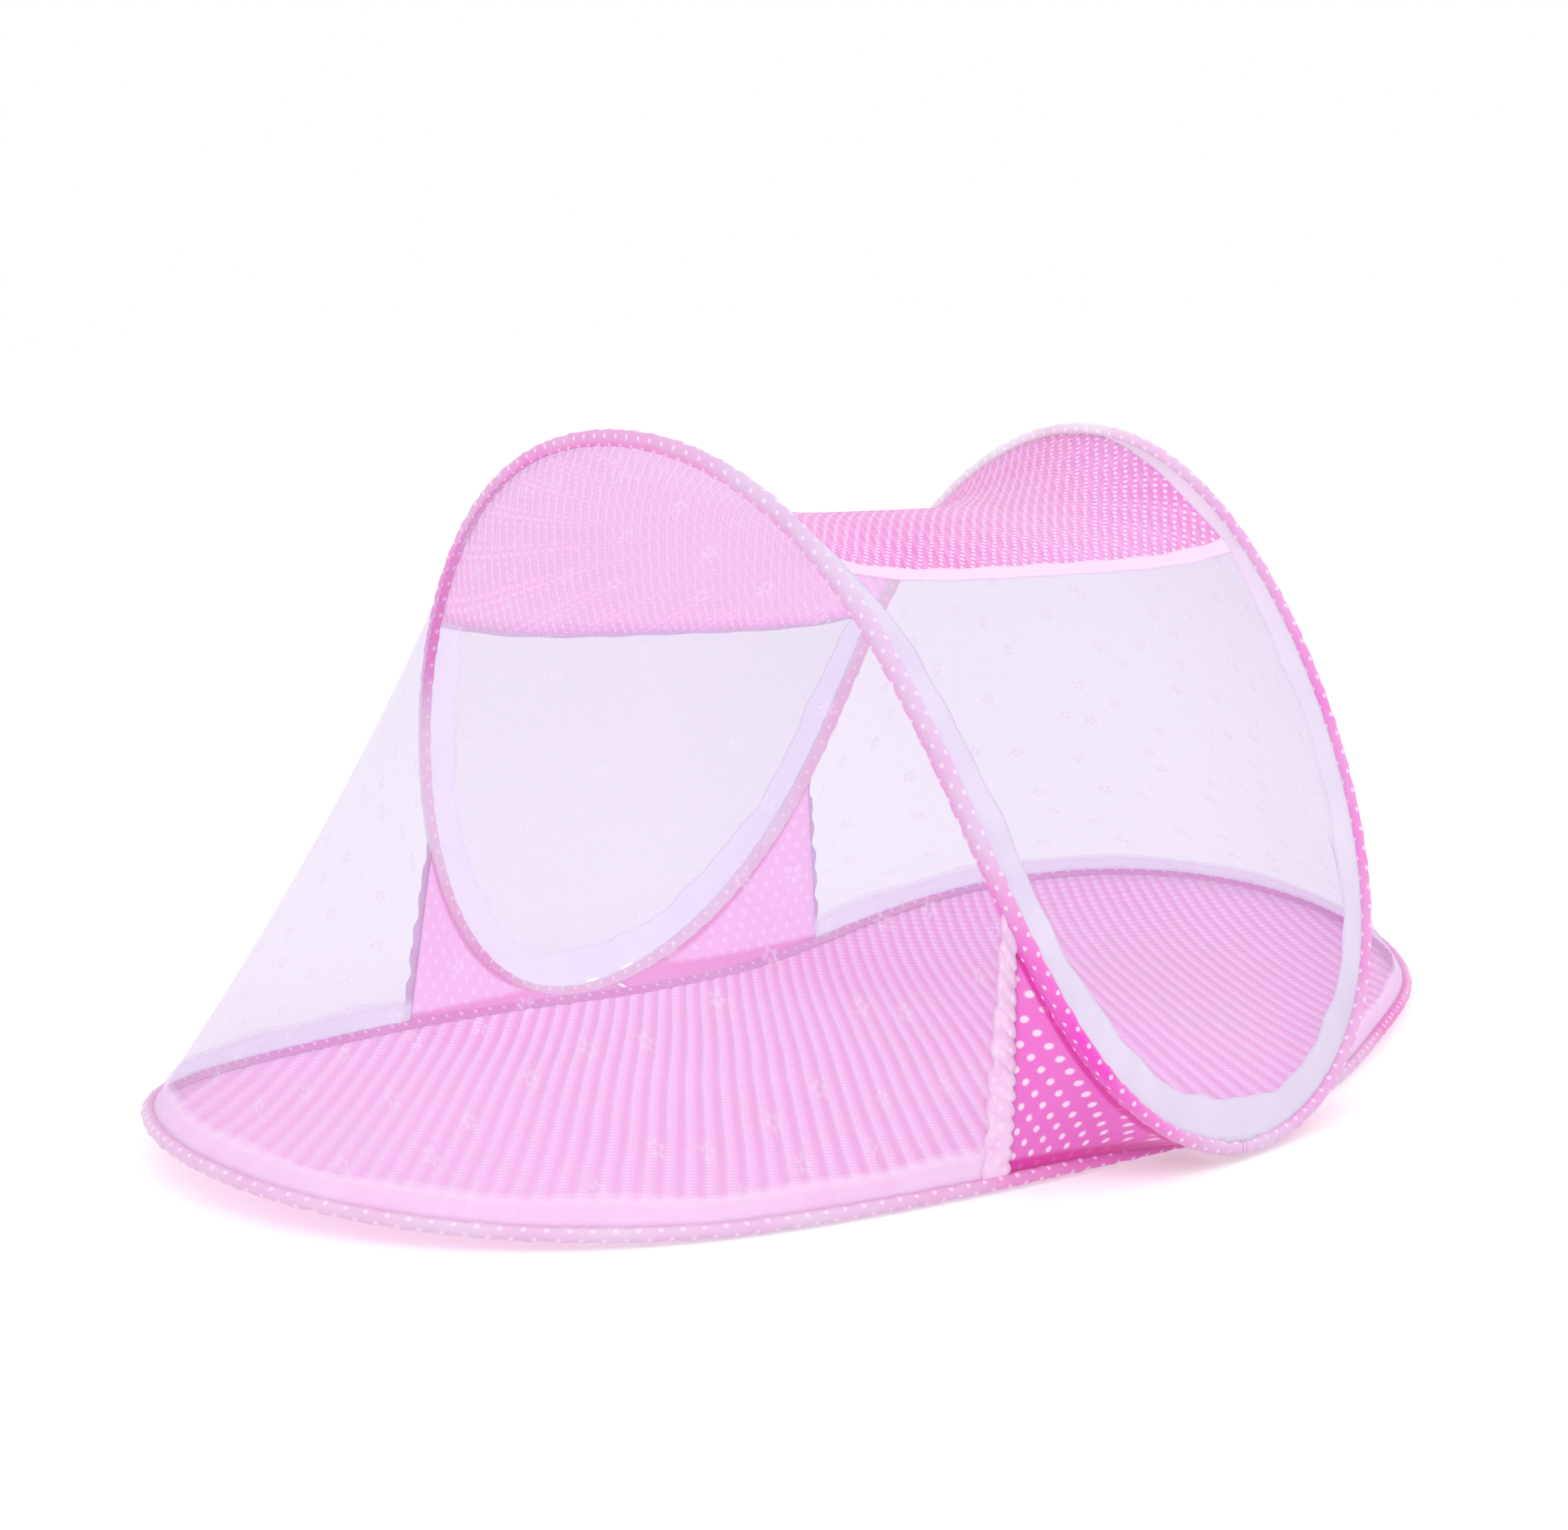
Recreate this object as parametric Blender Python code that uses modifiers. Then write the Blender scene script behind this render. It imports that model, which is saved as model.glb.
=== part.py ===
"""A pop-up mosquito net tent: a flat oval floor hoop, a second hoop bent into two arches, and the cloth between."""

import bmesh
import bpy
import numpy as np
from math import cos, pi

# Sizes of the whole tent, in metres. The hoops' shares below are shares of these three.
HALF_LENGTH = 0.545
HALF_WIDTH = 0.32
ARCH_RISE = 0.43

# The spring wire, the crimped tube that joins its ends, and the rolled binding that it runs in.
WIRE_RADIUS = 0.0012
FERRULE_WALL = 0.0004
FERRULE_LENGTH = 0.03
FERRULE_CLEARANCE = 0.0002
BINDING_RADIUS = 0.006
TUBE_SIDES = 8

# Cloth: one thickness for nets, mat and trims, and the widths of the trims.
CLOTH = 0.001
SIDE_HEM_WIDTH = 0.022
NET_HEM_WIDTH = 0.02
ROOF_EDGING_WIDTH = 0.014
GUSSET_EDGING_WIDTH = 0.018
ROOF_SAG = 0.051
ROOF_SEAM_SAG = 0.012
END_NET_SAG = 0.012
SIDE_NET_SAG = 0.004
MAT_FLAT_SHARE = 0.4

# Clearances: cloth to binding, cloth to cloth along a seam, and each half to the fold line.
SEAM_GAP = 0.0003
CORNER_GAP = 0.0008
FOLD_GAP = 0.0015
MAT_FOLD_GAP = 0.0003

# The floor hoop's centreline, from the near side of the fold line by the left end, the far side and the right end.
# Each row is a station: shares of the half length, the half width and the arch rise.
FLOOR_HOOP_SHARES = (
    (0.00, -0.87, 0.00),
    (-0.32, -0.89, 0.00),
    (-0.63, -0.84, 0.00),
    (-0.90, -0.57, 0.02),
    (-1.00, -0.06, 0.05),
    (-0.88, 0.43, 0.05),
    (-0.62, 0.74, 0.02),
    (-0.31, 0.87, 0.01),
    (0.00, 0.90, 0.00),
    (0.32, 0.99, 0.01),
    (0.65, 1.05, 0.06),
    (0.93, 0.80, 0.08),
    (0.99, 0.31, 0.04),
    (0.83, -0.14, 0.01),
    (0.58, -0.46, 0.01),
    (0.31, -0.73, 0.00),
)

# The arch hoop's centreline in the same order: down at the fold line on both sides, up over each half.
ARCH_HOOP_SHARES = (
    (0.00, -1.01, 0.01),
    (-0.26, -1.04, 0.22),
    (-0.36, -0.85, 0.60),
    (-0.39, -0.47, 0.90),
    (-0.39, 0.05, 0.99),
    (-0.36, 0.57, 0.88),
    (-0.35, 0.84, 0.55),
    (-0.26, 0.93, 0.14),
    (0.00, 0.98, 0.01),
    (0.30, 1.03, 0.23),
    (0.40, 0.89, 0.58),
    (0.39, 0.54, 0.85),
    (0.35, 0.03, 0.96),
    (0.34, -0.43, 0.81),
    (0.36, -0.70, 0.46),
    (0.28, -0.86, 0.12),
)

# Where seams meet the hoops, counted in stations from the near side of the fold line along each half:
# the fold line, the gusset seam, the roof seam, and the same again on the far side.
FLOOR_SEAM_SHARES = {"left": (0.0, 0.95, 6.8, 8.0), "right": (0.0, 1.0, 6.87, 8.0)}
ARCH_SEAM_SHARES = {
    "left": (0.0, 1.45, 2.75, 5.7, 6.6, 8.0),
    "right": (0.0, 1.45, 3.0, 5.88, 6.75, 8.0),
}

# How many straight runs a half hoop has between those seams, and how many the roof has from arch to arch.
GUSSET_STEPS = 6
NEAR_NET_STEPS = 5
ROOF_STEPS = 11
FAR_NET_STEPS = 4
ROOF_COLUMNS = 10

SIDES = ("left", "right")
GUSSET_SEAM_NEAR = GUSSET_STEPS
ROOF_SEAM_NEAR = GUSSET_SEAM_NEAR + NEAR_NET_STEPS
ROOF_SEAM_FAR = ROOF_SEAM_NEAR + ROOF_STEPS
GUSSET_SEAM_FAR = ROOF_SEAM_FAR + FAR_NET_STEPS
LAST = GUSSET_SEAM_FAR + GUSSET_STEPS

# The bore takes the wire inside its ferrule. Cloth starts just outside the binding.
FERRULE_RADIUS = WIRE_RADIUS + FERRULE_CLEARANCE + FERRULE_WALL
BORE_RADIUS = FERRULE_RADIUS + FERRULE_CLEARANCE
CLOTH_START = BINDING_RADIUS + SEAM_GAP


def clear_scene():
    for thing in list(bpy.data.objects):
        bpy.data.objects.remove(thing, do_unlink=True)


def material(name, colour, roughness, metallic=0.0, alpha=1.0):
    made = bpy.data.materials.new(name)
    made.use_nodes = True
    shader = made.node_tree.nodes["Principled BSDF"]
    shader.inputs["Base Color"].default_value = (*colour, 1.0)
    shader.inputs["Roughness"].default_value = roughness
    shader.inputs["Metallic"].default_value = metallic
    shader.inputs["Alpha"].default_value = alpha
    made.diffuse_color = (*colour, alpha)
    return made


def closed_curve(stations, places):
    """The smooth closed line through evenly timed stations, read at places counted in stations."""
    count = len(stations)
    waves = np.fft.fft(stations, axis=0) / count
    order = np.fft.fftfreq(count, 1 / count)
    return (np.exp(2j * pi * np.outer(places, order) / count) @ waves).real


def places_between(seams, steps):
    """Evenly spread places from seam to seam, with each seam given once."""
    runs = [np.linspace(a, b, n, endpoint=False) for a, b, n in zip(seams, seams[1:], steps)]
    return np.concatenate(runs + [[seams[-1]]])


def half_hoop(shares, seams, steps, side):
    """One half of a hoop's centreline, from the near to the far side, ending a fold gap from the fold line."""
    stations = np.array(shares) * (HALF_LENGTH, HALF_WIDTH, ARCH_RISE)
    places = places_between(seams, steps)
    if side == "right":
        places = len(shares) - places
    line = closed_curve(stations, places)
    line[:, 2] = np.maximum(line[:, 2], 0) + BINDING_RADIUS
    line[0, 0] = line[-1, 0] = -FOLD_GAP if side == "left" else FOLD_GAP
    return line


def unit(vectors):
    return vectors / np.linalg.norm(vectors, axis=-1, keepdims=True)


def inset(line, targets, distance):
    """A line's points moved by a distance square to the line, towards the targets."""
    along = unit(np.gradient(line, axis=0))
    towards = targets - line
    across = towards - along * (towards * along).sum(axis=1, keepdims=True)
    return line + unit(across) * distance


def span(starts, ends, columns, sag=(0, 0, 0)):
    """A grid of points on lines from starts to ends. Each line's middle moves by sag."""
    share = np.linspace(0, 1, columns + 1)[None, :, None]
    bow = 4 * share * (1 - share)
    sag = np.broadcast_to(np.array(sag, float), starts.shape)
    return starts[:, None] * (1 - share) + ends[:, None] * share + bow * sag[:, None]


def shorten(grid, first=0.0, last=0.0):
    """The grid with its first and last rows moved in along its columns."""
    grid = grid.copy()
    grid[0] += unit(grid[1] - grid[0]) * first
    grid[-1] += unit(grid[-2] - grid[-1]) * last
    return grid


def cloth_panel(name, grid, finish, collection, turned=False):
    """A sheet of cloth over a grid of points, given its thickness by Solidify."""
    sheet = bmesh.new()
    rows = [[sheet.verts.new(point) for point in row] for row in grid]
    for low, high in zip(rows, rows[1:]):
        for a, b, c, d in zip(low, low[1:], high[1:], high):
            sheet.faces.new((d, c, b, a) if turned else (a, b, c, d))
    mesh = bpy.data.meshes.new(name)
    sheet.to_mesh(mesh)
    sheet.free()
    mesh.shade_smooth()
    mesh.materials.append(finish)
    panel = bpy.data.objects.new(name, mesh)
    collection.objects.link(panel)
    solid = panel.modifiers.new("cloth_thickness", "SOLIDIFY")
    solid.thickness = CLOTH
    solid.offset = 0
    solid.use_even_offset = True
    return panel


def tube_curve(name, points, radius, capped):
    curve = bpy.data.curves.new(name, "CURVE")
    curve.dimensions = "3D"
    curve.bevel_depth = radius
    curve.bevel_resolution = (TUBE_SIDES - 4) // 2
    curve.use_fill_caps = capped
    spline = curve.splines.new("POLY")
    spline.points.add(len(points) - 1)
    for handle, point in zip(spline.points, points):
        handle.co = (*point, 1)
    return bpy.data.objects.new(name, curve)


def rod(name, points, radius, finish, collection):
    wire = tube_curve(name, points, radius, capped=True)
    wire.data.materials.append(finish)
    collection.objects.link(wire)
    return wire


def hollow_tube(name, points, radius, bore_radius, finish, collection):
    """A tube with open ends. The bore is measured to the middle of its flats."""
    guide = tube_curve(name + "_guide", points, radius, capped=False)
    collection.objects.link(guide)
    evaluated = guide.evaluated_get(bpy.context.evaluated_depsgraph_get())
    mesh = bpy.data.meshes.new_from_object(evaluated)
    bpy.data.objects.remove(guide, do_unlink=True)
    mesh.name = name
    mesh.materials.clear()
    mesh.materials.append(finish)
    mesh.shade_smooth()
    tube = bpy.data.objects.new(name, mesh)
    collection.objects.link(tube)
    wall = tube.modifiers.new("wall", "SOLIDIFY")
    wall.thickness = radius * cos(pi / TUBE_SIDES) - bore_radius
    wall.offset = -1
    wall.use_even_offset = True
    return tube


def make_hoops(floor, arch, finishes, collection):
    """Each hoop is a wire in a binding, in two halves that meet at the fold line."""
    for kind, lines in (("floor_hoop", floor), ("arch", arch)):
        for side in SIDES:
            rod(f"{kind}_wire_{side}", lines[side], WIRE_RADIUS, finishes["wire"], collection)
            binding = f"{kind}_binding_{side}"
            hollow_tube(binding, lines[side], BINDING_RADIUS, BORE_RADIUS, finishes["binding"], collection)
        first, second = lines["right"][GUSSET_SEAM_FAR], lines["right"][GUSSET_SEAM_FAR + 1]
        middle = (first + second) / 2
        half = unit(second - first) * FERRULE_LENGTH / 2
        ends = np.array((middle - half, middle + half))
        bore = WIRE_RADIUS + FERRULE_CLEARANCE
        hollow_tube(f"{kind}_ferrule", ends, FERRULE_RADIUS, bore, finishes["ferrule"], collection)


def make_end_net(side, floor, arch, finishes, collection):
    """White net from the arch down to the floor hoop, with a hem along the floor."""
    seams = slice(GUSSET_SEAM_NEAR, GUSSET_SEAM_FAR + 1)
    bottom = inset(floor, arch, CLOTH_START)[seams]
    top = inset(arch, floor, CLOTH_START)[seams]
    up = unit(top - bottom)
    turned = side == "right"
    hem = shorten(span(bottom, bottom + up * NET_HEM_WIDTH, 1), CORNER_GAP, CORNER_GAP)
    cloth_panel(f"end_net_hem_{side}", hem, finishes["hem"], collection, turned)
    start = bottom + up * (NET_HEM_WIDTH + CORNER_GAP)
    belly = np.sin(np.linspace(0, pi, len(bottom)))[:, None]
    net = span(start, top, 4, -unit((start + top) / 2) * belly * END_NET_SAG)
    cloth_panel(f"end_net_{side}", shorten(net, CORNER_GAP, CORNER_GAP), finishes["net"], collection, turned)


def make_gussets(side, floor, arch, finishes, collection):
    """Dotted triangles between the hoops, two at each side of the fold line, edged along the net seam."""
    near = slice(0, GUSSET_SEAM_NEAR + 1)
    far = slice(LAST, GUSSET_SEAM_FAR - 1, -1)
    for place, run in (("near", near), ("far", far)):
        bottom = inset(floor, arch, CLOTH_START)[run]
        top = inset(arch, floor, CLOTH_START)[run]
        turned = (side == "right") == (place == "near")
        whole = span(bottom, top, 2)
        body = shorten(whole, last=GUSSET_EDGING_WIDTH + CORNER_GAP)
        cloth_panel(f"gusset_{place}_{side}", body, finishes["gusset"], collection, turned)
        cut = shorten(whole, last=GUSSET_EDGING_WIDTH)[-1]
        seam = shorten(whole, last=CORNER_GAP)[-1]
        edging = np.array((cut, seam))
        cloth_panel(f"gusset_edging_{place}_{side}", edging, finishes["edging"], collection, turned)


def make_mat(side, floor, finishes, collection):
    """Half of the mesh floor: flat on the ground for a share of the way out, then rising to the hoop."""
    fold = -MAT_FOLD_GAP if side == "left" else MAT_FOLD_GAP
    spine = np.zeros_like(floor)
    spine[:, 0] = fold
    spine[:, 1] = np.linspace(floor[0, 1], floor[-1, 1], len(floor)) / 2
    spine[:, 2] = floor[:, 2]
    rim = inset(floor, spine, CLOTH_START)
    rim[0, 0] = rim[-1, 0] = fold
    grid = span(spine, rim, 5)
    rise = ((np.linspace(0, 1, 6) - MAT_FLAT_SHARE) / (1 - MAT_FLAT_SHARE)).clip(0) ** 3
    ground = CLOTH / 2
    grid[:, :, 2] = ground + (floor[:, None, 2] - ground) * rise[None, :]
    cloth_panel(f"floor_mat_{side}", grid, finishes["mat"], collection, side == "left")


def roof_cloth(left, right):
    """The roof from arch to arch. It sags most midway between its two seams, and drops steeply at the arches."""
    sag = ROOF_SEAM_SAG + (ROOF_SAG - ROOF_SEAM_SAG) * np.sin(np.linspace(0, pi, len(left)))
    hang = (left + right) / 2
    hang[:, 2] -= 2 * sag
    whole = span(inset(left, hang, CLOTH_START), inset(right, hang, CLOTH_START), ROOF_COLUMNS)
    whole[:, :, 2] -= sag[:, None] * (1 - np.linspace(-1, 1, ROOF_COLUMNS + 1) ** 4)
    return whole


def make_roof(arch, finishes, collection):
    """The roof between the arches, with an edging along each side seam. Returns its two seam lines."""
    rows = slice(ROOF_SEAM_NEAR, ROOF_SEAM_FAR + 1)
    whole = roof_cloth(arch["left"][rows], arch["right"][rows])
    trim = ROOF_EDGING_WIDTH + CORNER_GAP
    cloth_panel("roof_panel", shorten(whole, trim, trim), finishes["roof"], collection, True)
    inner = shorten(whole, ROOF_EDGING_WIDTH, ROOF_EDGING_WIDTH)
    outer = shorten(whole, CORNER_GAP, CORNER_GAP)
    near = np.array((outer[0], inner[0]))
    far = np.array((inner[-1], outer[-1]))
    cloth_panel("roof_edging_near", near, finishes["edging"], collection, True)
    cloth_panel("roof_edging_far", far, finishes["edging"], collection, True)
    return {"near": whole[0], "far": whole[-1]}


def points_along(line, distances):
    """Points of a line of straight runs, at distances from its start."""
    lengths = np.linalg.norm(np.diff(line, axis=0), axis=1)
    travelled = np.concatenate(([0.0], np.cumsum(lengths)))
    return np.stack([np.interp(distances, travelled, line[:, k]) for k in range(3)], axis=1)


def evenly_along(line, count, margin=0.0):
    """Evenly spaced points of a line, starting and ending a margin from its ends."""
    length = np.linalg.norm(np.diff(line, axis=0), axis=1).sum()
    return points_along(line, np.linspace(margin, length - margin, count))


def make_side_net(place, arch, seam, finishes, collection):
    """A shield of net in the loop between the arches, inside a hem band that follows the binding."""
    rows = slice(0, ROOF_SEAM_NEAR + 1) if place == "near" else slice(LAST, ROOF_SEAM_FAR - 1, -1)
    left, right = arch["left"][rows], arch["right"][rows]
    loop = np.concatenate((left[::-1], right))
    middle = np.concatenate((loop, seam)).mean(axis=0)
    fold = [len(left) - 1, len(left)]
    turned = place == "far"

    outer_edge = inset(loop, middle, CLOTH_START)
    inner_edge = inset(loop, middle, CLOTH_START + SIDE_HEM_WIDTH)
    outer_edge[fold, 0] = inner_edge[fold, 0] = loop[fold, 0]
    outer_edge[[0, -1]] = seam[[0, -1]]
    inner_edge[[0, -1]] = evenly_along(seam, 2, SIDE_HEM_WIDTH)
    hem = shorten(span(outer_edge, inner_edge, 1), CORNER_GAP, CORNER_GAP)
    cloth_panel(f"side_hem_{place}", hem, finishes["hem"], collection, turned)

    net_start = SIDE_HEM_WIDTH + CORNER_GAP
    net_edge = inset(loop, middle, CLOTH_START + net_start)
    net_edge[fold, 0] = loop[fold, 0]
    starts = net_edge[: len(left) - 1][::-1]
    ends = net_edge[len(left) + 1 :]
    out = np.array((0.0, SIDE_NET_SAG if place == "far" else -SIDE_NET_SAG, 0.0))
    net = span(starts, ends, 8, out)
    net[0] = evenly_along(net_edge[fold[0] - 1 : fold[1] + 2], 9)
    net[-1] = evenly_along(seam, 9, net_start)
    cloth_panel(f"side_net_{place}", shorten(net, last=CORNER_GAP), finishes["net"], collection, turned)


def make_tent():
    clear_scene()
    collection = bpy.data.collections.new("mosquito_net_tent")
    bpy.context.scene.collection.children.link(collection)
    finishes = {
        "wire": material("spring_wire", (0.55, 0.55, 0.57), 0.35, 1.0),
        "ferrule": material("crimped_tube", (0.62, 0.62, 0.64), 0.3, 1.0),
        "binding": material("dotted_binding", (0.72, 0.16, 0.46), 0.6),
        "net": material("white_net", (0.86, 0.78, 0.92), 0.7, alpha=0.5),
        "hem": material("pale_hem_tape", (0.82, 0.72, 0.9), 0.65),
        "edging": material("scalloped_edging", (0.9, 0.55, 0.8), 0.65),
        "gusset": material("dotted_gusset", (0.8, 0.1, 0.42), 0.6),
        "mat": material("ribbed_mesh_mat", (0.78, 0.3, 0.62), 0.75),
        "roof": material("dotted_roof_mesh", (0.8, 0.3, 0.64), 0.7),
    }
    floor_steps = (GUSSET_STEPS, GUSSET_SEAM_FAR - GUSSET_SEAM_NEAR, GUSSET_STEPS)
    arch_steps = (GUSSET_STEPS, NEAR_NET_STEPS, ROOF_STEPS, FAR_NET_STEPS, GUSSET_STEPS)
    floor = {s: half_hoop(FLOOR_HOOP_SHARES, FLOOR_SEAM_SHARES[s], floor_steps, s) for s in SIDES}
    arch = {s: half_hoop(ARCH_HOOP_SHARES, ARCH_SEAM_SHARES[s], arch_steps, s) for s in SIDES}
    make_hoops(floor, arch, finishes, collection)
    for side in SIDES:
        make_end_net(side, floor[side], arch[side], finishes, collection)
        make_gussets(side, floor[side], arch[side], finishes, collection)
        make_mat(side, floor[side], finishes, collection)
    seams = make_roof(arch, finishes, collection)
    for place in ("near", "far"):
        make_side_net(place, arch, seams[place], finishes, collection)


make_tent()
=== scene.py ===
from math import cos, pi, radians, sin

import bmesh
import bpy
import numpy as np
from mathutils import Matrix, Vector
from mathutils.bvhtree import BVHTree


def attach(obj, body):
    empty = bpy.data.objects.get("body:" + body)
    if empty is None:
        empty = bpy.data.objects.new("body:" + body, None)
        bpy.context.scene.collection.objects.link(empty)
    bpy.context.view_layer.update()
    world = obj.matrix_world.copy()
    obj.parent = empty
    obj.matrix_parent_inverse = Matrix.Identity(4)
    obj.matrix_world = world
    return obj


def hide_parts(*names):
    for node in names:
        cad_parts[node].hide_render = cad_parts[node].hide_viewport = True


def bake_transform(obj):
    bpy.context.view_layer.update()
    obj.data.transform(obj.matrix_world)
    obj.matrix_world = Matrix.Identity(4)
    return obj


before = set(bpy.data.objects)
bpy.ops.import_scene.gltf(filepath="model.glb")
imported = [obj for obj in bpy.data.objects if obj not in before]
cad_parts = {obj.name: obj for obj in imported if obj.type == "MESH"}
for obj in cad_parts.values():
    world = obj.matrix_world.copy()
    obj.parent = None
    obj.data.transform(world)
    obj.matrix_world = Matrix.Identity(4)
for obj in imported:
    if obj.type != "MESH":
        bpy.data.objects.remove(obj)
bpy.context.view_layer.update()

# The two hoops are closed rings of sprung wire in sleeves of dotted cloth. Each sleeve is a tape
# rolled round the wire, turned under and stitched flat along its inner edge, and puckers a little.
# The floor hoop lies flat, and the arch hoop rises from the fold line in two arches.
HOOP_RADIUS = 0.006
HOOP_SIZE = (0.545, 0.32, 0.43)
# Sixteen stations round each hoop, in shares of half its length, half its width and its height.
FLOOR_HOOP_SHARES = (
    (0.00, -0.87, 0.00),
    (-0.32, -0.89, 0.00),
    (-0.63, -0.84, 0.00),
    (-0.90, -0.57, 0.02),
    (-1.00, -0.06, 0.05),
    (-0.88, 0.43, 0.05),
    (-0.62, 0.74, 0.02),
    (-0.31, 0.87, 0.01),
    (0.00, 0.90, 0.00),
    (0.32, 0.99, 0.01),
    (0.65, 1.05, 0.06),
    (0.93, 0.80, 0.08),
    (0.99, 0.31, 0.04),
    (0.83, -0.14, 0.01),
    (0.58, -0.46, 0.01),
    (0.31, -0.73, 0.00),
)
ARCH_HOOP_SHARES = (
    (0.00, -1.01, 0.01),
    (-0.26, -1.04, 0.22),
    (-0.36, -0.85, 0.60),
    (-0.39, -0.47, 0.90),
    (-0.39, 0.05, 0.99),
    (-0.36, 0.57, 0.88),
    (-0.35, 0.84, 0.55),
    (-0.26, 0.93, 0.14),
    (0.00, 0.98, 0.01),
    (0.30, 1.03, 0.23),
    (0.40, 0.89, 0.58),
    (0.39, 0.54, 0.85),
    (0.35, 0.03, 0.96),
    (0.34, -0.43, 0.81),
    (0.36, -0.70, 0.46),
    (0.28, -0.86, 0.12),
)
FOLD_BEND = 0.015
SLEEVE_STEPS = 560
SLEEVE_LEAST_HEIGHT = 0.0003
SLEEVE_ROUND = 0.0043
SLEEVE_ROUND_SHIFT = -0.0016
SLEEVE_ROUND_TURN = (35, 325)
SLEEVE_EDGE = 0.0059
# How far the points of the stitched edge lie behind the very edge and off the tape's middle.
SLEEVE_EDGE_POINTS = ((0.0, 0.0001), (0.0005, 0.0007), (0.0022, 0.0012))
SLEEVE_PUCKER = 0.0002 / SLEEVE_ROUND
SLEEVE_PUCKERS = ((SLEEVE_PUCKER, 410, 0), (SLEEVE_PUCKER, 271, 1), (SLEEVE_PUCKER, 613, 0))

# Printed dots are given by their pitch, their radius and the width of their soft edge.
DOT_WHITE = (0.800, 0.660, 0.770)
SLEEVE_DOTS = (0.0128, 0.0019, 0.0009)
THREAD_PITCH = 0.0008
STITCH_LINE = 0.0032
STITCH_PITCH = 0.0036
STITCH_HALF_WIDTH = 1 / 900
TURNED_EDGE = 0.0045
TURNED_EDGE_BACK = 0.0195
SLEEVE_RELIEF = 0.0002
SLEEVE_GLOW = 0.20
# The pinks are the faded and the fresh one. The stretches that are still fresh are given by their
# middle and half length, in metres along the sleeve from the near fold point, and their strength.
FLOOR_SLEEVE_PINKS = ((0.570, 0.420, 0.570), (0.600, 0.120, 0.420))
FLOOR_SLEEVE_FRESH = (
    (0.04, 0.22, 1.00),
    (1.25, 0.50, 0.50),
    (1.98, 0.38, 0.65),
    (2.40, 0.16, 1.00),
    (2.70, 0.12, 0.50),
)
ARCH_SLEEVE_PINKS = ((0.530, 0.410, 0.560), (0.640, 0.040, 0.420))
ARCH_SLEEVE_FRESH = (
    (0.16, 0.15, 0.90),
    (0.80, 0.24, 0.32),
    (1.00, 0.07, 0.70),
    (1.27, 0.12, 0.45),
    (2.46, 0.36, 0.42),
)
# Where the arch sleeve's painted backlight starts and ends, and how fast it comes and goes a metre.
ARCH_SLEEVE_BACKLIT = (1.04, 2.12)
BACKLIGHT_SLOPES = (20.0, 8.0)
# The colour of that painted backlight, brighter than white.
SLEEVE_PAINTED_BACKLIGHT = (1.350, 1.900, 1.450)


def hoop_at(shares, places):
    """The hoop's centreline at places counted in stations, by its Fourier series."""
    stations = np.array(shares) * HOOP_SIZE
    count = len(stations)
    waves = np.fft.fft(stations, axis=0) / count
    order = np.fft.fftfreq(count, 1 / count)
    line = (np.exp(2j * pi * np.outer(places, order) / count) @ waves).real
    line[:, 2] = np.maximum(line[:, 2], 0) + HOOP_RADIUS
    return line


def unit(vectors):
    return vectors / np.linalg.norm(vectors, axis=-1, keepdims=True)


def squared(directions, along):
    """The directions with their part along a line taken out, one metre long."""
    return unit(directions - along * (directions * along).sum(axis=1, keepdims=True))


def square_to(line, directions):
    return squared(directions, unit(np.gradient(line, axis=0)))


def lengths_along(line):
    return np.concatenate(([0], np.cumsum(np.linalg.norm(np.diff(line, axis=0), axis=1))))


def uneven(lengths, *waves):
    """1, give or take some waves along a piece: the size, rate and start of each."""
    return 1 + sum(size * np.sin(lengths * rate + start) for size, rate, start in waves)


class Value:
    """One output socket of a material's nodes. Python's operators on it add Math nodes."""

    def __init__(self, finish, socket):
        self.finish = finish
        self.socket = socket

    def math(self, operation, *others, clamp=False):
        settings = {"operation": operation, "use_clamp": clamp}
        return self.finish.node("ShaderNodeMath", settings, dict(enumerate((self, *others))))

    def __add__(self, other):
        return self.math("ADD", other)

    def __radd__(self, other):
        return self.math("ADD", other)

    def __sub__(self, other):
        return self.math("SUBTRACT", other)

    def __rsub__(self, other):
        return (self * -1.0) + other

    def __mul__(self, other):
        return self.math("MULTIPLY", other)

    def __rmul__(self, other):
        return self.math("MULTIPLY", other)

    def __truediv__(self, other):
        return self.math("DIVIDE", other)

    def fraction(self):
        return self.math("FRACT")

    def size(self):
        return self.math("ABSOLUTE")

    def root(self):
        return self.math("SQRT")

    def least(self, other):
        return self.math("MINIMUM", other)

    def most(self, other):
        return self.math("MAXIMUM", other)

    def clamp(self):
        return self.math("ADD", 0.0, clamp=True)

    def wave(self, pitch):
        """A sine of this length in metres, from 0 to 1."""
        return (self * (2 * pi / pitch)).math("SINE") * 0.5 + 0.5

    def contrast(self, amount):
        """Spreads a noise's middle values out over 0 to 1."""
        return ((self - 0.5) * amount + 0.5).clamp()

    def past(self, start, slope):
        """0 up to the start, and from there up to 1 by so much a metre."""
        return ((self - start) * slope).clamp()

    def near(self, middle, half):
        """1 at the middle, falling to 0 at this distance on both sides."""
        return (1 - ((self - middle) / half).size()).clamp()


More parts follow.
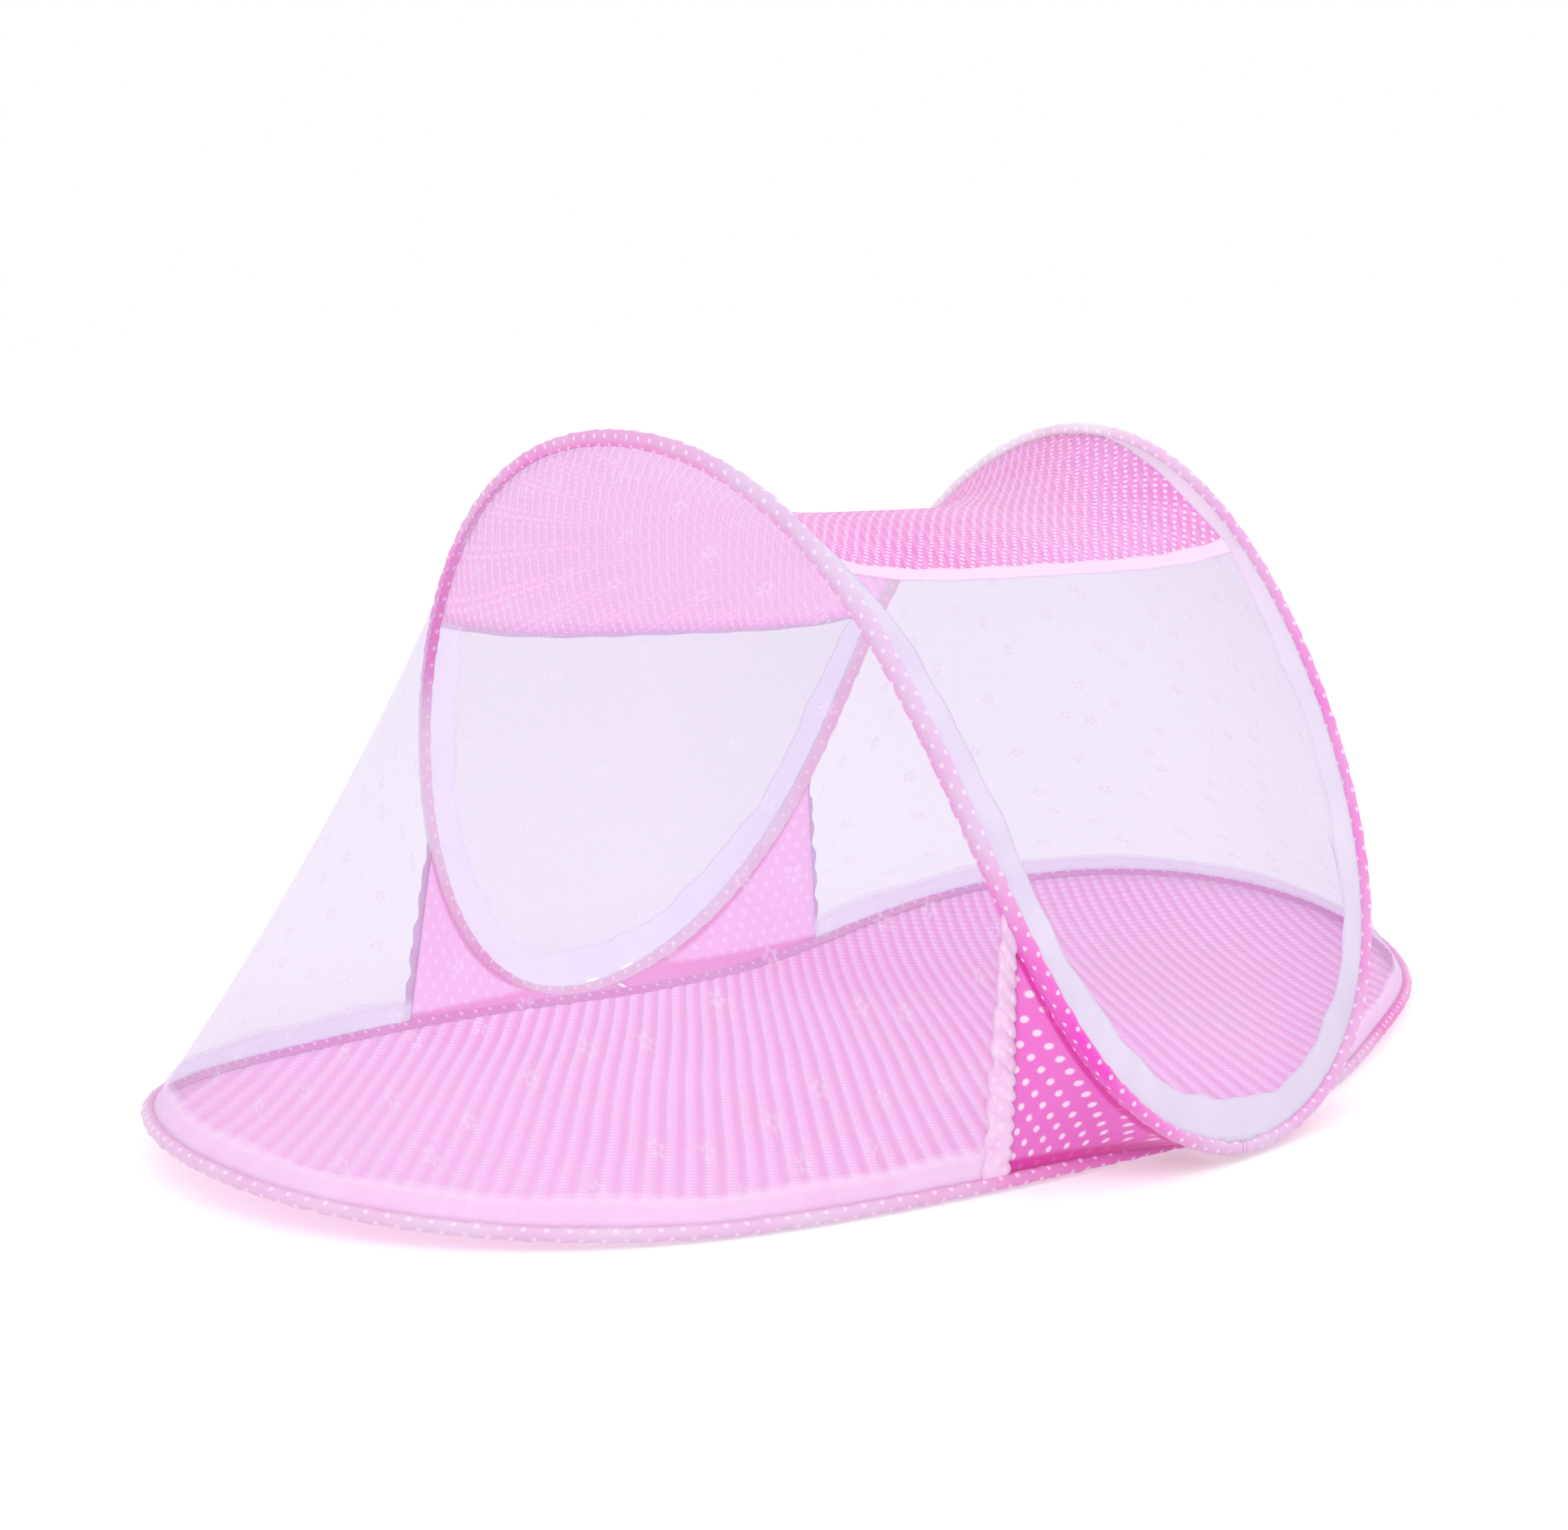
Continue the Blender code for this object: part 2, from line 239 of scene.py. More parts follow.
class Finish:
    """A material in the making: its nodes and its Principled shader."""

    def __init__(self, name, **plain):
        self.material = bpy.data.materials.new(name)
        self.material.use_nodes = True
        self.tree = self.material.node_tree
        self.shader = self.tree.nodes["Principled BSDF"]
        for socket, value in plain.items():
            self.set(socket.replace("_", " ").title(), value)

    def node(self, kind, settings=None, inputs=None, output=0):
        made = self.tree.nodes.new(kind)
        for name, value in (settings or {}).items():
            setattr(made, name, value)
        for key, value in (inputs or {}).items():
            self.feed(self.socket(made.inputs, key), value)
        return Value(self, self.socket(made.outputs, output))

    def socket(self, sockets, key):
        if isinstance(key, int):
            return sockets[key]
        return next(s for s in sockets if key in (s.identifier, s.name))

    def feed(self, socket, value):
        if isinstance(value, Value):
            self.tree.links.new(value.socket, socket)
        elif isinstance(value, tuple) and socket.type == "RGBA":
            socket.default_value = (*value, 1.0)
        else:
            socket.default_value = value

    def set(self, socket, value):
        self.feed(self.shader.inputs[socket], value)

    def mix(self, share, first, second):
        inputs = {"Factor_Float": share, "A_Color": first, "B_Color": second}
        return self.node("ShaderNodeMix", {"data_type": "RGBA"}, inputs, "Result_Color")

    def split(self, vector, parts):
        inputs = {"Vector": vector}
        return [self.node("ShaderNodeSeparateXYZ", inputs=inputs, output=part) for part in parts]

    def cloth_place(self, parts="XY"):
        """Metres along and across the cloth, from where its pattern starts."""
        settings = {"attribute_name": "cloth_place"}
        return self.split(self.node("ShaderNodeAttribute", settings, output="Vector"), parts)

    def tent_place(self, parts):
        """Metres along, across and up the tent, from the middle of its floor."""
        return self.split(self.node("ShaderNodeTexCoord", output="Object"), parts)

    def noise(self, scale, detail=3.0):
        where = self.node("ShaderNodeTexCoord", output="Object")
        inputs = {"Vector": where, "Scale": scale, "Detail": detail}
        return self.node("ShaderNodeTexNoise", inputs=inputs)

    def dots(self, along, across, pitch, radius, edge):
        """1 inside the dots of a staggered grid, 0 outside."""
        def from_middle(shift):
            a = (along / pitch + shift).fraction() - 0.5
            b = (across / pitch + shift).fraction() - 0.5
            return (a * a + b * b).root()
        nearest = from_middle(0.0).least(from_middle(0.5))
        return ((radius / pitch - nearest) * (pitch / edge)).clamp()

    def weave(self, along, across, pitch):
        """Threads over and under each other, 0 to 1."""
        over = along.wave(pitch) * across.wave(pitch)
        return over + (1 - along.wave(pitch)) * (1 - across.wave(pitch))

    def bump(self, height, depth):
        inputs = {"Height": height, "Distance": depth}
        self.set("Normal", self.node("ShaderNodeBump", inputs=inputs))

    def glow(self, colour, strength):
        """Painted light: the cloth glows a little in this colour, as if light came through it."""
        self.set("Emission Color", colour)
        self.set("Emission Strength", strength)


def dotted_sleeve_finish(name, pinks, fresh_stretches, backlit=None):
    """Printed cloth, faded except in its fresh stretches and beside its edges. Where it is backlit,
    its faded cloth glows brighter with painted light."""
    finish = Finish(name, roughness=0.72, sheen_weight=0.3, sheen_roughness=0.45)
    along, around = finish.cloth_place()
    fresh = finish.noise(16.0).contrast(2.5) * 0.30
    for middle, half, strength in fresh_stretches:
        fresh = fresh + along.near(middle, half) * strength
    fresh = fresh.clamp()
    front_edge = (1 - around / TURNED_EDGE).clamp()
    back_edge = ((around - TURNED_EDGE_BACK) / TURNED_EDGE).clamp()
    tone = finish.mix((fresh + front_edge.most(back_edge) * 0.4).clamp(), *pinks)
    dot = finish.dots(along, around, *SLEEVE_DOTS)
    finish.set("Base Color", finish.mix(dot * (fresh * 0.35 + 0.50), tone, DOT_WHITE))
    on_stitch_line = around.near(STITCH_LINE, STITCH_HALF_WIDTH)
    stitch = (along.wave(STITCH_PITCH) - 0.35).clamp() * on_stitch_line
    weave = finish.weave(along, around, THREAD_PITCH)
    finish.bump(weave * 0.5 + stitch * 3.0 + dot * 0.4, SLEEVE_RELIEF)
    light = finish.mix(fresh, *pinks)
    if backlit:
        comes, goes = (along.past(*turn) for turn in zip(backlit, BACKLIGHT_SLOPES))
        light = finish.mix(comes * (1 - goes) * (1 - fresh), light, SLEEVE_PAINTED_BACKLIGHT)
    finish.glow(light, SLEEVE_GLOW)
    return finish


def sleeve_section():
    """The rolled tape, from one stitched edge to the other. The first axis runs to the edges."""
    turn = np.radians(np.linspace(*SLEEVE_ROUND_TURN, 15))
    rolled = np.stack((np.cos(turn), np.sin(turn)), axis=1) * SLEEVE_ROUND
    rolled[:, 0] += SLEEVE_ROUND_SHIFT
    edge = [(SLEEVE_EDGE - behind, off) for behind, off in SLEEVE_EDGE_POINTS]
    other_edge = [(x, -y) for x, y in reversed(edge)]
    return np.array(edge + rolled.tolist() + other_edge)


def sheet_mesh(name, places, pattern, finish, ring=False):
    """A grid of points as a mesh, with its pattern's places. A ring's last row joins its first."""
    rows, columns = places.shape[:2]
    faces = []
    for i in range(rows if ring else rows - 1):
        k = (i + 1) % rows
        for j in range(columns - 1):
            row, next_row = i * columns + j, k * columns + j
            faces.append((row, row + 1, next_row + 1, next_row))
    mesh = bpy.data.meshes.new(name)
    mesh.from_pydata(places.reshape(-1, 3).tolist(), [], faces)
    flat = np.zeros((rows * columns, 3), np.float32)
    flat[:, :pattern.shape[-1]] = pattern.reshape(rows * columns, -1)
    cloth_place = mesh.attributes.new("cloth_place", "FLOAT_VECTOR", "POINT")
    cloth_place.data.foreach_set("vector", flat.ravel())
    mesh.shade_smooth()
    mesh.materials.append(finish.material)
    piece = bpy.data.objects.new(name, mesh)
    bpy.context.scene.collection.objects.link(piece)
    return piece


def make_sleeve(name, shares, towards, finish):
    places = np.linspace(0, len(shares), SLEEVE_STEPS, endpoint=False)
    ring = hoop_at(shares, places)
    overlapped = np.concatenate((ring[-3:], ring, ring[:3]))
    along_ring = unit(np.gradient(overlapped, axis=0))[3:-3]
    inward = squared(towards(places, ring), along_ring)
    sideways = np.cross(along_ring, inward)
    section = sleeve_section()
    length = lengths_along(ring)
    outline = section[None] * uneven(length, *SLEEVE_PUCKERS)[:, None, None]
    points = inward[:, None] * outline[..., :1] + sideways[:, None] * outline[..., 1:]
    points += ring[:, None]
    points[..., 2] = np.maximum(points[..., 2], SLEEVE_LEAST_HEIGHT)
    pattern = np.broadcast_arrays(length[:, None], lengths_along(section)[None])
    return sheet_mesh(name, points, np.stack(pattern, axis=-1), finish, ring=True)


def towards_middle(places, ring):
    return (0, 0, HOOP_RADIUS) - ring


def towards_floor(places, ring):
    return hoop_at(FLOOR_HOOP_SHARES, places) * (1.0, 0.8, 1.0) - ring


floor_sleeve = make_sleeve(
    "floor_hoop_sleeve",
    FLOOR_HOOP_SHARES,
    towards_middle,
    dotted_sleeve_finish("floor_sleeve_cloth", FLOOR_SLEEVE_PINKS, FLOOR_SLEEVE_FRESH),
)
arch_sleeve = make_sleeve(
    "arch_hoop_sleeve",
    ARCH_HOOP_SHARES,
    towards_floor,
    dotted_sleeve_finish(
        "arch_sleeve_cloth", ARCH_SLEEVE_PINKS, ARCH_SLEEVE_FRESH, ARCH_SLEEVE_BACKLIT
    ),
)
both_sleeves = (floor_sleeve, arch_sleeve)
for sleeve, kind in zip(both_sleeves, ("floor_hoop", "arch")):
    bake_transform(sleeve)
    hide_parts(f"{kind}_binding_left", f"{kind}_binding_right")

# The wires are drawn spring steel, and each ring is closed by a tube crimped over both ends. They
# sit inside the sleeves and hardly show, but keep the fine lines and dull shine of drawn wire.
STEEL_ROUGHNESS = {"wire": 0.24, "ferrule": 0.32}
STEEL_GREYS = ((0.50, 0.50, 0.52), (0.62, 0.62, 0.64))
STEEL_RELIEF = 0.00005
for kind, smoothest in STEEL_ROUGHNESS.items():
    steel = Finish(f"{kind}_steel", metallic=1.0)
    lines = steel.noise(900.0, 2.0)
    steel.set("Base Color", steel.mix(lines, *STEEL_GREYS))
    steel.set("Roughness", lines * 0.2 + smoothest)
    steel.bump(lines, STEEL_RELIEF)
    for name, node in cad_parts.items():
        if kind in name:
            node.data.materials.clear()
            node.data.materials.append(steel.material)

# The end nets are sheer white net, cut as one panel each and sewn from an arch to the floor hoop.
# They hang taut, with a slight belly inwards. Small white flowers are embroidered all over them,
# and show best over something pink.
CLOTH_TUCK = 0.0032
END_NET_RUNS = np.linspace(6, 26, 101)
END_NET_COLUMNS = 36
END_NET_BELLY = 0.012
END_NET_FLAT = {"left": (1.014, 0.524), "right": (1.012, 0.515)}
END_NET_AREA = {"left": 0.317, "right": 0.285}
NET_THREAD_PITCH = 0.0016
NET_LILACS = ((0.435, 0.365, 0.565), (0.470, 0.400, 0.590))
NET_LIGHTS = ((0.190, 0.150, 0.230), (0.200, 0.170, 0.240))
NET_SHADE = (0.200, 0.080, 0.300)
NET_GLOW = 0.35
FLOWER_PITCH = 0.064
FLOWER_RADIUS = 0.0068
FLOWER_WHITE = (0.430, 0.390, 0.490)
FLOWER_LIGHT = (0.680, 0.560, 0.780)
# Runs from 0 to 32 go round one half of a hoop, from its near fold point to its far one. At each
# knot of the runs, the stations say where on the hoop it is.
FLOOR_KNOTS = (0, 6, 26, 32)
FLOOR_STATIONS = {"left": (0.0, 0.95, 6.8, 8.0), "right": (16.0, 15.0, 9.13, 8.0)}
ARCH_KNOTS = (0, 6, 11, 22, 26, 32)
ARCH_STATIONS = {
    "left": (0.0, 1.45, 2.75, 5.7, 6.6, 8.0),
    "right": (16.0, 14.55, 13.0, 10.12, 9.25, 8.0),
}


def floor_line(side, runs):
    return hoop_at(FLOOR_HOOP_SHARES, np.interp(runs, FLOOR_KNOTS, FLOOR_STATIONS[side]))


def arch_line(side, runs):
    return hoop_at(ARCH_HOOP_SHARES, np.interp(runs, ARCH_KNOTS, ARCH_STATIONS[side]))


def seams(side, runs):
    """A cloth's two seams, just inside the floor hoop's sleeve and the arch's."""
    floor, arch = floor_line(side, runs), arch_line(side, runs)
    bottom = floor + square_to(floor, arch - floor) * CLOTH_TUCK
    return bottom, arch + square_to(arch, floor - arch) * CLOTH_TUCK


def pattern_of(points):
    """Metres along the rows and down the columns of a grid of points."""
    steps = np.linalg.norm(np.diff(points, axis=1, prepend=points[:, :1]), axis=2)
    along = np.cumsum(steps, axis=1)
    down = np.cumsum(np.linalg.norm(np.diff(points, axis=0, prepend=points[:1]), axis=2), axis=0)
    return np.stack((along - along.mean(axis=1, keepdims=True), down), axis=-1)


def ruled(starts, ends, columns, bow=0):
    """A grid of straight rows, each bowed by its own amount in the middle."""
    share = np.linspace(0, 1, columns + 1)[None, :, None]
    bow = np.broadcast_to(bow, starts.shape)[:, None]
    return starts[:, None] * (1 - share) + ends[:, None] * share + 4 * share * (1 - share) * bow


def flowers(finish, along, across):
    """1 on small five-petalled flowers, each a chance way off its place in a staggered grid."""
    marks = []
    for shift in (0.0, 0.5):
        a, b = along / FLOWER_PITCH + shift, across / FLOWER_PITCH + shift
        cell = {0: a.math("FLOOR"), 1: b.math("FLOOR"), 2: shift}
        cell = finish.node("ShaderNodeCombineXYZ", inputs=cell)
        chance = finish.node("ShaderNodeTexWhiteNoise", inputs={"Vector": cell}, output="Color")
        chance_x, chance_y, chance_turn = finish.split(chance, "XYZ")
        x = a.fraction() - 0.5 - (chance_x - 0.5) * 0.45
        y = b.fraction() - 0.5 - (chance_y - 0.5) * 0.45
        distance = (x * x + y * y).root() * FLOWER_PITCH / FLOWER_RADIUS
        turn = y.math("ARCTAN2", x) * 5.0 + chance_turn * 6.0
        petal = ((turn.math("COSINE") * 0.20 + 0.82 - distance) * 2.4).clamp()
        heart = ((0.42 - distance) * 4.0).clamp()
        marks.append(petal - heart * petal)
    return marks[0].most(marks[1])


def net_finish(name, cover, flowered=False, shaded_from=None):
    """Half clear net. It may carry flowers, and may lie in shade to the right of a place."""
    finish = Finish(name, roughness=0.8, sheen_weight=0.15)
    s, t = finish.cloth_place()
    slant = t * 0.6
    threads = (s + slant).wave(NET_THREAD_PITCH).most((s - slant).wave(NET_THREAD_PITCH))
    cloud = finish.noise(7.0)
    net = finish.mix(cloud, *NET_LILACS)
    light = finish.mix(cloud, *NET_LIGHTS)
    if shaded_from is not None:
        x, = finish.tent_place("X")
        net = finish.mix(x.past(shaded_from, 7.0) * 0.45, net, NET_SHADE)
    alpha = (threads - 0.5) * 0.14 + cloud * 0.06 + (cover - 0.07)
    if flowered:
        flower = flowers(finish, s, t)
        net = finish.mix(flower, net, FLOWER_WHITE)
        light = finish.mix(flower, light, FLOWER_LIGHT)
        alpha = alpha + flower * 0.19
    finish.set("Base Color", net)
    finish.set("Alpha", alpha.clamp())
    finish.glow(light, NET_GLOW)
    return finish


end_net_finish = net_finish("end_net_cloth", 0.30, flowered=True)
end_net_grids = {}
for side in ("left", "right"):
    bottom, top = seams(side, END_NET_RUNS)
    belly = np.sin(np.linspace(0, pi, len(END_NET_RUNS)))[:, None] * END_NET_BELLY
    grid = ruled(bottom, top, END_NET_COLUMNS, -unit((bottom + top) / 2) * belly)
    net = sheet_mesh(f"end_net_cloth_{side}", grid, pattern_of(grid), end_net_finish)
    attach(net, f"{side}_half")
    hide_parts(f"end_net_{side}")
    end_net_grids[side] = grid

# Where an end net meets the floor hoop its edge is turned up and stitched, which shows as a pale
# band beside the sleeve. The band is net folded over twice, so it is denser and whiter, and its
# free edge runs a little unevenly and thins out.
HEM_THICKNESS = 0.0006
HEM_RELIEF = 0.0006
HEM_THREAD_PITCH = 0.0012
HEM_LIGHT = (0.870, 0.900, 0.940)
END_HEM_WIDTH = 0.020
END_HEM_WAVES = ((0.08, 0.55, 0), (0.06, 0.23, 1))
END_HEM_LIFT = 0.0009
END_HEM_THIN_FROM = 0.004
HEM_THINNING = 0.006


def hem_cloth(name, lit_and_shaded_tones, cover, glow, light=None, thin_from=None, painted_light_heights=()):
    """Folded net. It may thin out beyond a distance from its middle line. Its two tones are a lit
    and a shaded copy, mixed by its folds as painted shade. Where the right side of the tent rises
    past each of the given heights, the tone goes over to that height's own lighter one, as painted
    light."""
    finish = Finish(name, roughness=0.8, sheen_weight=0.2)
    s, t = finish.cloth_place()
    folds_and_shade = finish.noise(28.0)
    # Painted shade: the shaded tone goes into the folds.
    tone = finish.mix(folds_and_shade.contrast(2.0), *lit_and_shaded_tones)
    # Painted light: the tone goes lighter up the right side of the tent.
    if painted_light_heights:
        x, z = finish.tent_place("XZ")
        for height, colour in painted_light_heights:
            tone = finish.mix(z.past(height, 9.0) * (x * 10.0).clamp(), tone, colour)
    thick = (folds_and_shade * 0.3 + (cover - 0.15)).clamp()
    if thin_from is not None:
        thick = thick * (1 - ((s - thin_from) / HEM_THINNING + folds_and_shade * 0.6).clamp() * 0.8)
    finish.set("Base Color", tone)
    finish.set("Alpha", thick)
    finish.bump(finish.weave(s, t, HEM_THREAD_PITCH) * 0.4 + folds_and_shade, HEM_RELIEF)
    finish.glow(light or tone, glow)
    return finish


def surface_of(grid):
    rows, columns = grid.shape[:2]
    faces = []
    for i in range(rows - 1):
        for j in range(columns - 1):
            row, next_row = i * columns + j, (i + 1) * columns + j
            faces.append((row, row + 1, next_row + 1, next_row))
    return BVHTree.FromPolygons(grid.reshape(-1, 3).tolist(), faces)


def laid_on(points, grid, lift, outside):
    """The points moved onto a cloth's surface and lifted off it, on the side called outside."""
    surface = surface_of(grid)
    laid = []
    for point in points.reshape(-1, 3):
        place, normal, _, _ = surface.find_nearest(Vector(point))
        if normal.dot(Vector(outside(place))) < 0:
            normal.negate()
        laid.append(place + normal * lift)
    return np.array(laid).reshape(points.shape)


def away_from_middle(place):
    return (place.x, place.y, 0.3 * place.z)


def thicken(piece, thickness, back=None):
    """Gives a cloth its thickness, and its inner side a finish of its own."""
    mesh = piece.data
    facing_out = 0
    for face in mesh.polygons:
        if face.area > 0:
            outwards = Vector((face.center.x, face.center.y, 0.5 * face.center.z))
            facing_out += face.normal.dot(outwards) * face.area
    if facing_out < 0:
        mesh.flip_normals()
    solid = piece.modifiers.new("cloth_thickness", "SOLIDIFY")
    solid.thickness = thickness
    solid.offset = 0
    if back:
        mesh.materials.append(back.material)
        solid.material_offset = 1


end_hem_face = hem_cloth(
    "floor_edge_hem",
    ((0.630, 0.400, 0.630), (0.640, 0.340, 0.590)),
    cover=0.74,
    glow=0.20,
    thin_from=END_HEM_THIN_FROM,
)
# The inner side glows near white with painted light, so that the hem looks bright from inside.
end_hem_back = hem_cloth(
    "floor_edge_hem_back",
    ((0.420, 0.400, 0.440), (0.410, 0.380, 0.430)),
    cover=0.60,
    glow=1.00,
    light=HEM_LIGHT,
    thin_from=END_HEM_THIN_FROM,
)
for side, grid in end_net_grids.items():
    width = END_HEM_WIDTH * uneven(np.arange(len(grid)), *END_HEM_WAVES)
    up = unit(grid[:, 2] - grid[:, 0])
    share = np.linspace(0, 1, 6)
    band = grid[:, :1] + up[:, None] * (width[:, None] * share)[..., None]
    band = laid_on(band, grid, END_HEM_LIFT, away_from_middle)
    hem = sheet_mesh(f"end_net_hem_band_{side}", band, pattern_of(band), end_hem_face)
    thicken(hem, HEM_THICKNESS, end_hem_back)
    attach(hem, f"{side}_half")
    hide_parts(f"end_net_hem_{side}")
    flat, area = END_NET_FLAT[side], END_NET_AREA[side]

# The gussets are the four triangles of dotted cloth at the foot of the arches, between the two
# hoops. They carry the pull of the arches, so they are of the sleeves' strong printed cloth,
# stretched tight and creased along their seams, with painted shade darkening the creases.
GUSSET_RUNS = {"near": (0.06, 6.0), "far": (31.94, 26.0)}
GUSSET_ROWS = 37
GUSSET_COLUMNS = 24
GUSSET_THICKNESS = 0.0005
GUSSET_RELIEF = 0.0003
GUSSET_DOTS = (0.0128, 0.0023, 0.0010)
GUSSET_LENGTH = 0.18
GUSSET_FLOOR_CREASE_AND_SHADE = 0.0205
PRINT_STRETCH = 1.3
# The width, length and area that each was cut to.
GUSSET_FLAT = {
    ("left", "near"): (0.178, 0.162, 0.0129),
    ("left", "far"): (0.120, 0.195, 0.0074),
    ("right", "near"): (0.131, 0.182, 0.0083),
    ("right", "far"): (0.128, 0.196, 0.0101),
}


def gusset_cloth(name, pale, strong, painted_crease_shade, crease_and_shade_width, dot_share, glow):
    """Printed cloth that fades away from the fold line. It is creased along the arch and floor,
    and painted shade darkens the creases.
    """
    finish = Finish(name, roughness=0.7, sheen_weight=0.3, sheen_roughness=0.4)
    s, t, from_arch = finish.cloth_place("XYZ")
    height, = finish.tent_place("Z")
    patches = finish.noise(14.0).contrast(2.5)
    dot = finish.dots(s, t, *GUSSET_DOTS)
    arch_crease_and_shade = ((crease_and_shade_width - from_arch) * 250.0).clamp()
    floor_crease_and_shade = ((GUSSET_FLOOR_CREASE_AND_SHADE - height) * 300.0).clamp()
    crease_and_shade = arch_crease_and_shade.most(floor_crease_and_shade)
    faded = (t / GUSSET_LENGTH).clamp() * 0.7 + patches * 0.3
    pink = finish.mix(dot * dot_share, finish.mix(faded, strong, pale), DOT_WHITE)
    # Painted shade darkens the creases.
    pink = finish.mix(crease_and_shade * 0.9, pink, painted_crease_shade)
    finish.set("Base Color", pink)
    weave = finish.weave(s, t, THREAD_PITCH)
    finish.bump(weave * 0.5 + dot * 0.3 + patches - crease_and_shade * 1.5, GUSSET_RELIEF)
    finish.glow(pink, glow)
    return finish


def print_on(grid):
    """A taut cloth's points in its own plane, as its stretched print lies, and how far each is
    from the end of its row."""
    up = unit(grid[-1, -1] - grid[-1, 0])
    along = grid[-1, 0] - grid[0, 0]
    along = unit(along - up * (along @ up))
    from_end = np.linalg.norm(grid[:, -1:] - grid, axis=2)
    from_corner = grid - grid[0, 0]
    return np.stack((from_corner @ up / PRINT_STRETCH, from_corner @ along, from_end), axis=-1)


gusset_face = gusset_cloth(
    "dotted_gusset_cloth",
    pale=(0.670, 0.160, 0.520),
    strong=(0.650, 0.050, 0.430),
    painted_crease_shade=(0.560, 0.006, 0.270),
    crease_and_shade_width=0.0140,
    dot_share=0.85,
    glow=0.12,
)
# The back of the print is paler, and it glows more with painted light.
gusset_back = gusset_cloth(
    "dotted_gusset_cloth_back",
    pale=(0.640, 0.380, 0.600),
    strong=(0.640, 0.270, 0.540),
    painted_crease_shade=(0.560, 0.150, 0.400),
    crease_and_shade_width=0.0095,
    dot_share=0.30,
    glow=0.60,
)
gusset_grids = {}
gussets = {}
for side in ("left", "right"):
    for place, (first, last) in GUSSET_RUNS.items():
        grid = ruled(*seams(side, np.linspace(first, last, GUSSET_ROWS)), GUSSET_COLUMNS)
        gusset = sheet_mesh(f"gusset_cloth_{place}_{side}", grid, print_on(grid), gusset_face)
        thicken(gusset, GUSSET_THICKNESS, gusset_back)
        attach(gusset, f"{side}_half")
        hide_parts(f"gusset_{place}_{side}")
        gusset_grids[side, place] = grid
        gussets[side, place] = gusset

# A pale edging covers the seam between each gusset and the end net. It is a folded strip of the
# same print, turned so that its faded back shows. Its edge on the gusset is scalloped, and its
# other edge runs a little unevenly on the net.
EDGING_WIDTH = 0.018
EDGING_OVER_NET = 0.006
EDGING_OVER_NET_WAVES = ((0.25, 330, 0), (0.15, 151, 0))
EDGING_LIFT = 0.0018
EDGING_STEP = 0.0016
EDGING_LEAST_STEPS = 13
SCALLOP_PITCH = 0.011
SCALLOP_DEPTH = 0.0030
EDGING_DOTS = (0.0120, 0.0021, 0.0012)
EDGING_THREAD_PITCH = 0.0009
EDGING_RELIEF = 0.0006
EDGING_PINKS = ((0.700, 0.400, 0.640), (0.720, 0.520, 0.700))
edging_finish = Finish("scalloped_edging_cloth", roughness=0.75, sheen_weight=0.3)
s, t = edging_finish.cloth_place()
patches = edging_finish.noise(70.0)
dot = edging_finish.dots(s, t, *EDGING_DOTS)
pale = edging_finish.mix(patches.contrast(3.0), *EDGING_PINKS)
edging_finish.set("Base Color", edging_finish.mix(dot * 0.5, pale, DOT_WHITE))
weave = edging_finish.weave(s, t, EDGING_THREAD_PITCH)
edging_finish.bump(weave * 0.4 + patches * 2.0, EDGING_RELIEF)
edging_finish.glow(pale, 0.25)
for (side, place), grid in gusset_grids.items():
    seam = grid[-1]
    onto_gusset = unit(grid[-6] - seam)
    length = np.linalg.norm(seam[-1] - seam[0])
    share = np.linspace(0, 1, max(EDGING_LEAST_STEPS, int(length / EDGING_STEP)))
    at = share * (len(seam) - 1)
    low = np.minimum(at.astype(int), len(seam) - 2)
    part = (at - low)[:, None]
    base = seam[low] * (1 - part) + seam[low + 1] * part
    into = unit(onto_gusset[low] * (1 - part) + onto_gusset[low + 1] * part)
    scallops = SCALLOP_DEPTH * np.abs(np.sin(pi * share * length / SCALLOP_PITCH))
    free = (EDGING_WIDTH - EDGING_OVER_NET + scallops)[:, None, None]
    over = (EDGING_OVER_NET * uneven(share * length, *EDGING_OVER_NET_WAVES))[:, None, None]
    across = np.linspace(0, 1, 7)[None, :, None]
    strip = base[:, None] + into[:, None] * (free * across - over * (1 - across))
    laid = laid_on(strip, grid, EDGING_LIFT, away_from_middle)
    laid[:, :2] = strip[:, :2] + (laid[:, 2] - strip[:, 2])[:, None]
    edging = sheet_mesh(
        f"gusset_edging_strip_{place}_{side}", laid, pattern_of(laid), edging_finish
    )
    thicken(edging, HEM_THICKNESS)
    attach(edging, f"{side}_half")
    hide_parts(f"gusset_edging_{place}_{side}")
    gusset = gussets[side, place]
    width, length, area = GUSSET_FLAT[side, place]

# The roof is pink mesh printed with pale dots, sewn between the two arches. It sags between them,
# and the pull of the arches sets soft ribs across it. It spans both halves of the tent.
ROOF_RUNS = np.linspace(11, 22, 67)
ROOF_COLUMNS = 48
ROOF_THICKNESS = 0.0005
ROOF_RELIEF = 0.0012
ROOF_SAG = 0.051
ROOF_SEAM_SAG = 0.012
ROOF_DOTS = (0.0098, 0.0020, 0.0009)
ROOF_DOT_WHITE = (0.830, 0.680, 0.810)
ROOF_RIB_PITCH = 0.0068
ROOF_RIB_PINK = (0.780, 0.500, 0.740)


def between_arches(runs, columns, sag):
    """Cloth from arch to arch. Each row has its own sag, and drops steeply at the arches."""
    left, right = arch_line("left", runs), arch_line("right", runs)
    hang = (left + right) / 2 - np.stack((0 * sag, 0 * sag, 2 * sag), axis=1)
    left = left + unit(hang - left) * CLOTH_TUCK
    right = right + unit(hang - right) * CLOTH_TUCK
    grid = ruled(left, right, columns)
    grid[..., 2] -= sag[:, None] * (1 - np.linspace(-1, 1, columns + 1) ** 4)
    return grid


